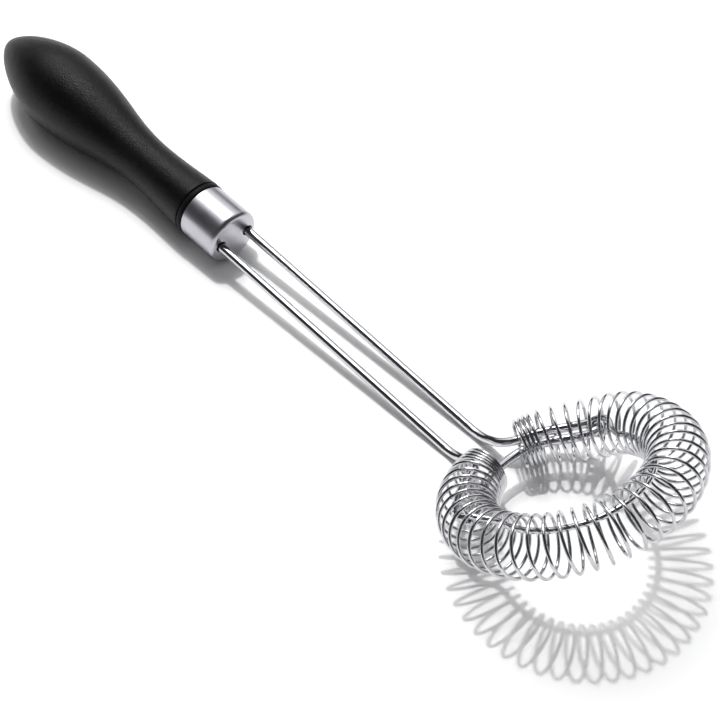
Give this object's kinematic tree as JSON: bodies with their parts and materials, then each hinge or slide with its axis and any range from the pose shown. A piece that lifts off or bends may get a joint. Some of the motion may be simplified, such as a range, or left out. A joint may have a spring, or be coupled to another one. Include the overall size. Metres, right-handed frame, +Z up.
{
  "type": "gravy whisk",
  "caption": "Hand whisk with a pear-shaped soft grip, a steel ferrule, two long wire legs and a coil spring bent into a tilted ring for stirring sauces.",
  "frame": {"origin": "on the table, under the middle of the whisk's bounding box as it lies on its bulb and coil", "axes": "+X from the handle towards the head, +Y to the whisk's left seen from the handle, +Z up"},
  "size_m": [0.3106, 0.0824, 0.0462],
  "materials": {
    "soft_grip": "matte, finely grained",
    "hard_core": "matte",
    "ferrule_steel": "satin",
    "wire_steel": "polished",
    "coil_steel": "polished"
  },
  "bodies": {
    "whisk": {"grip": "soft_grip", "handle_core": "hard_core", "ferrule": "ferrule_steel", "frame_wire": "wire_steel", "ring_wire": "wire_steel"},
    "coil": {"coil_spring": "coil_steel"}
  },
  "joints": [
    {"name": "coil_creep", "type": "hinge", "parent": "whisk", "child": "coil", "pos_m": [0.11776, 0, 0.02341], "axis": [-0.4613, 0, 0.8873], "range_deg": [0, 4]}
  ]
}
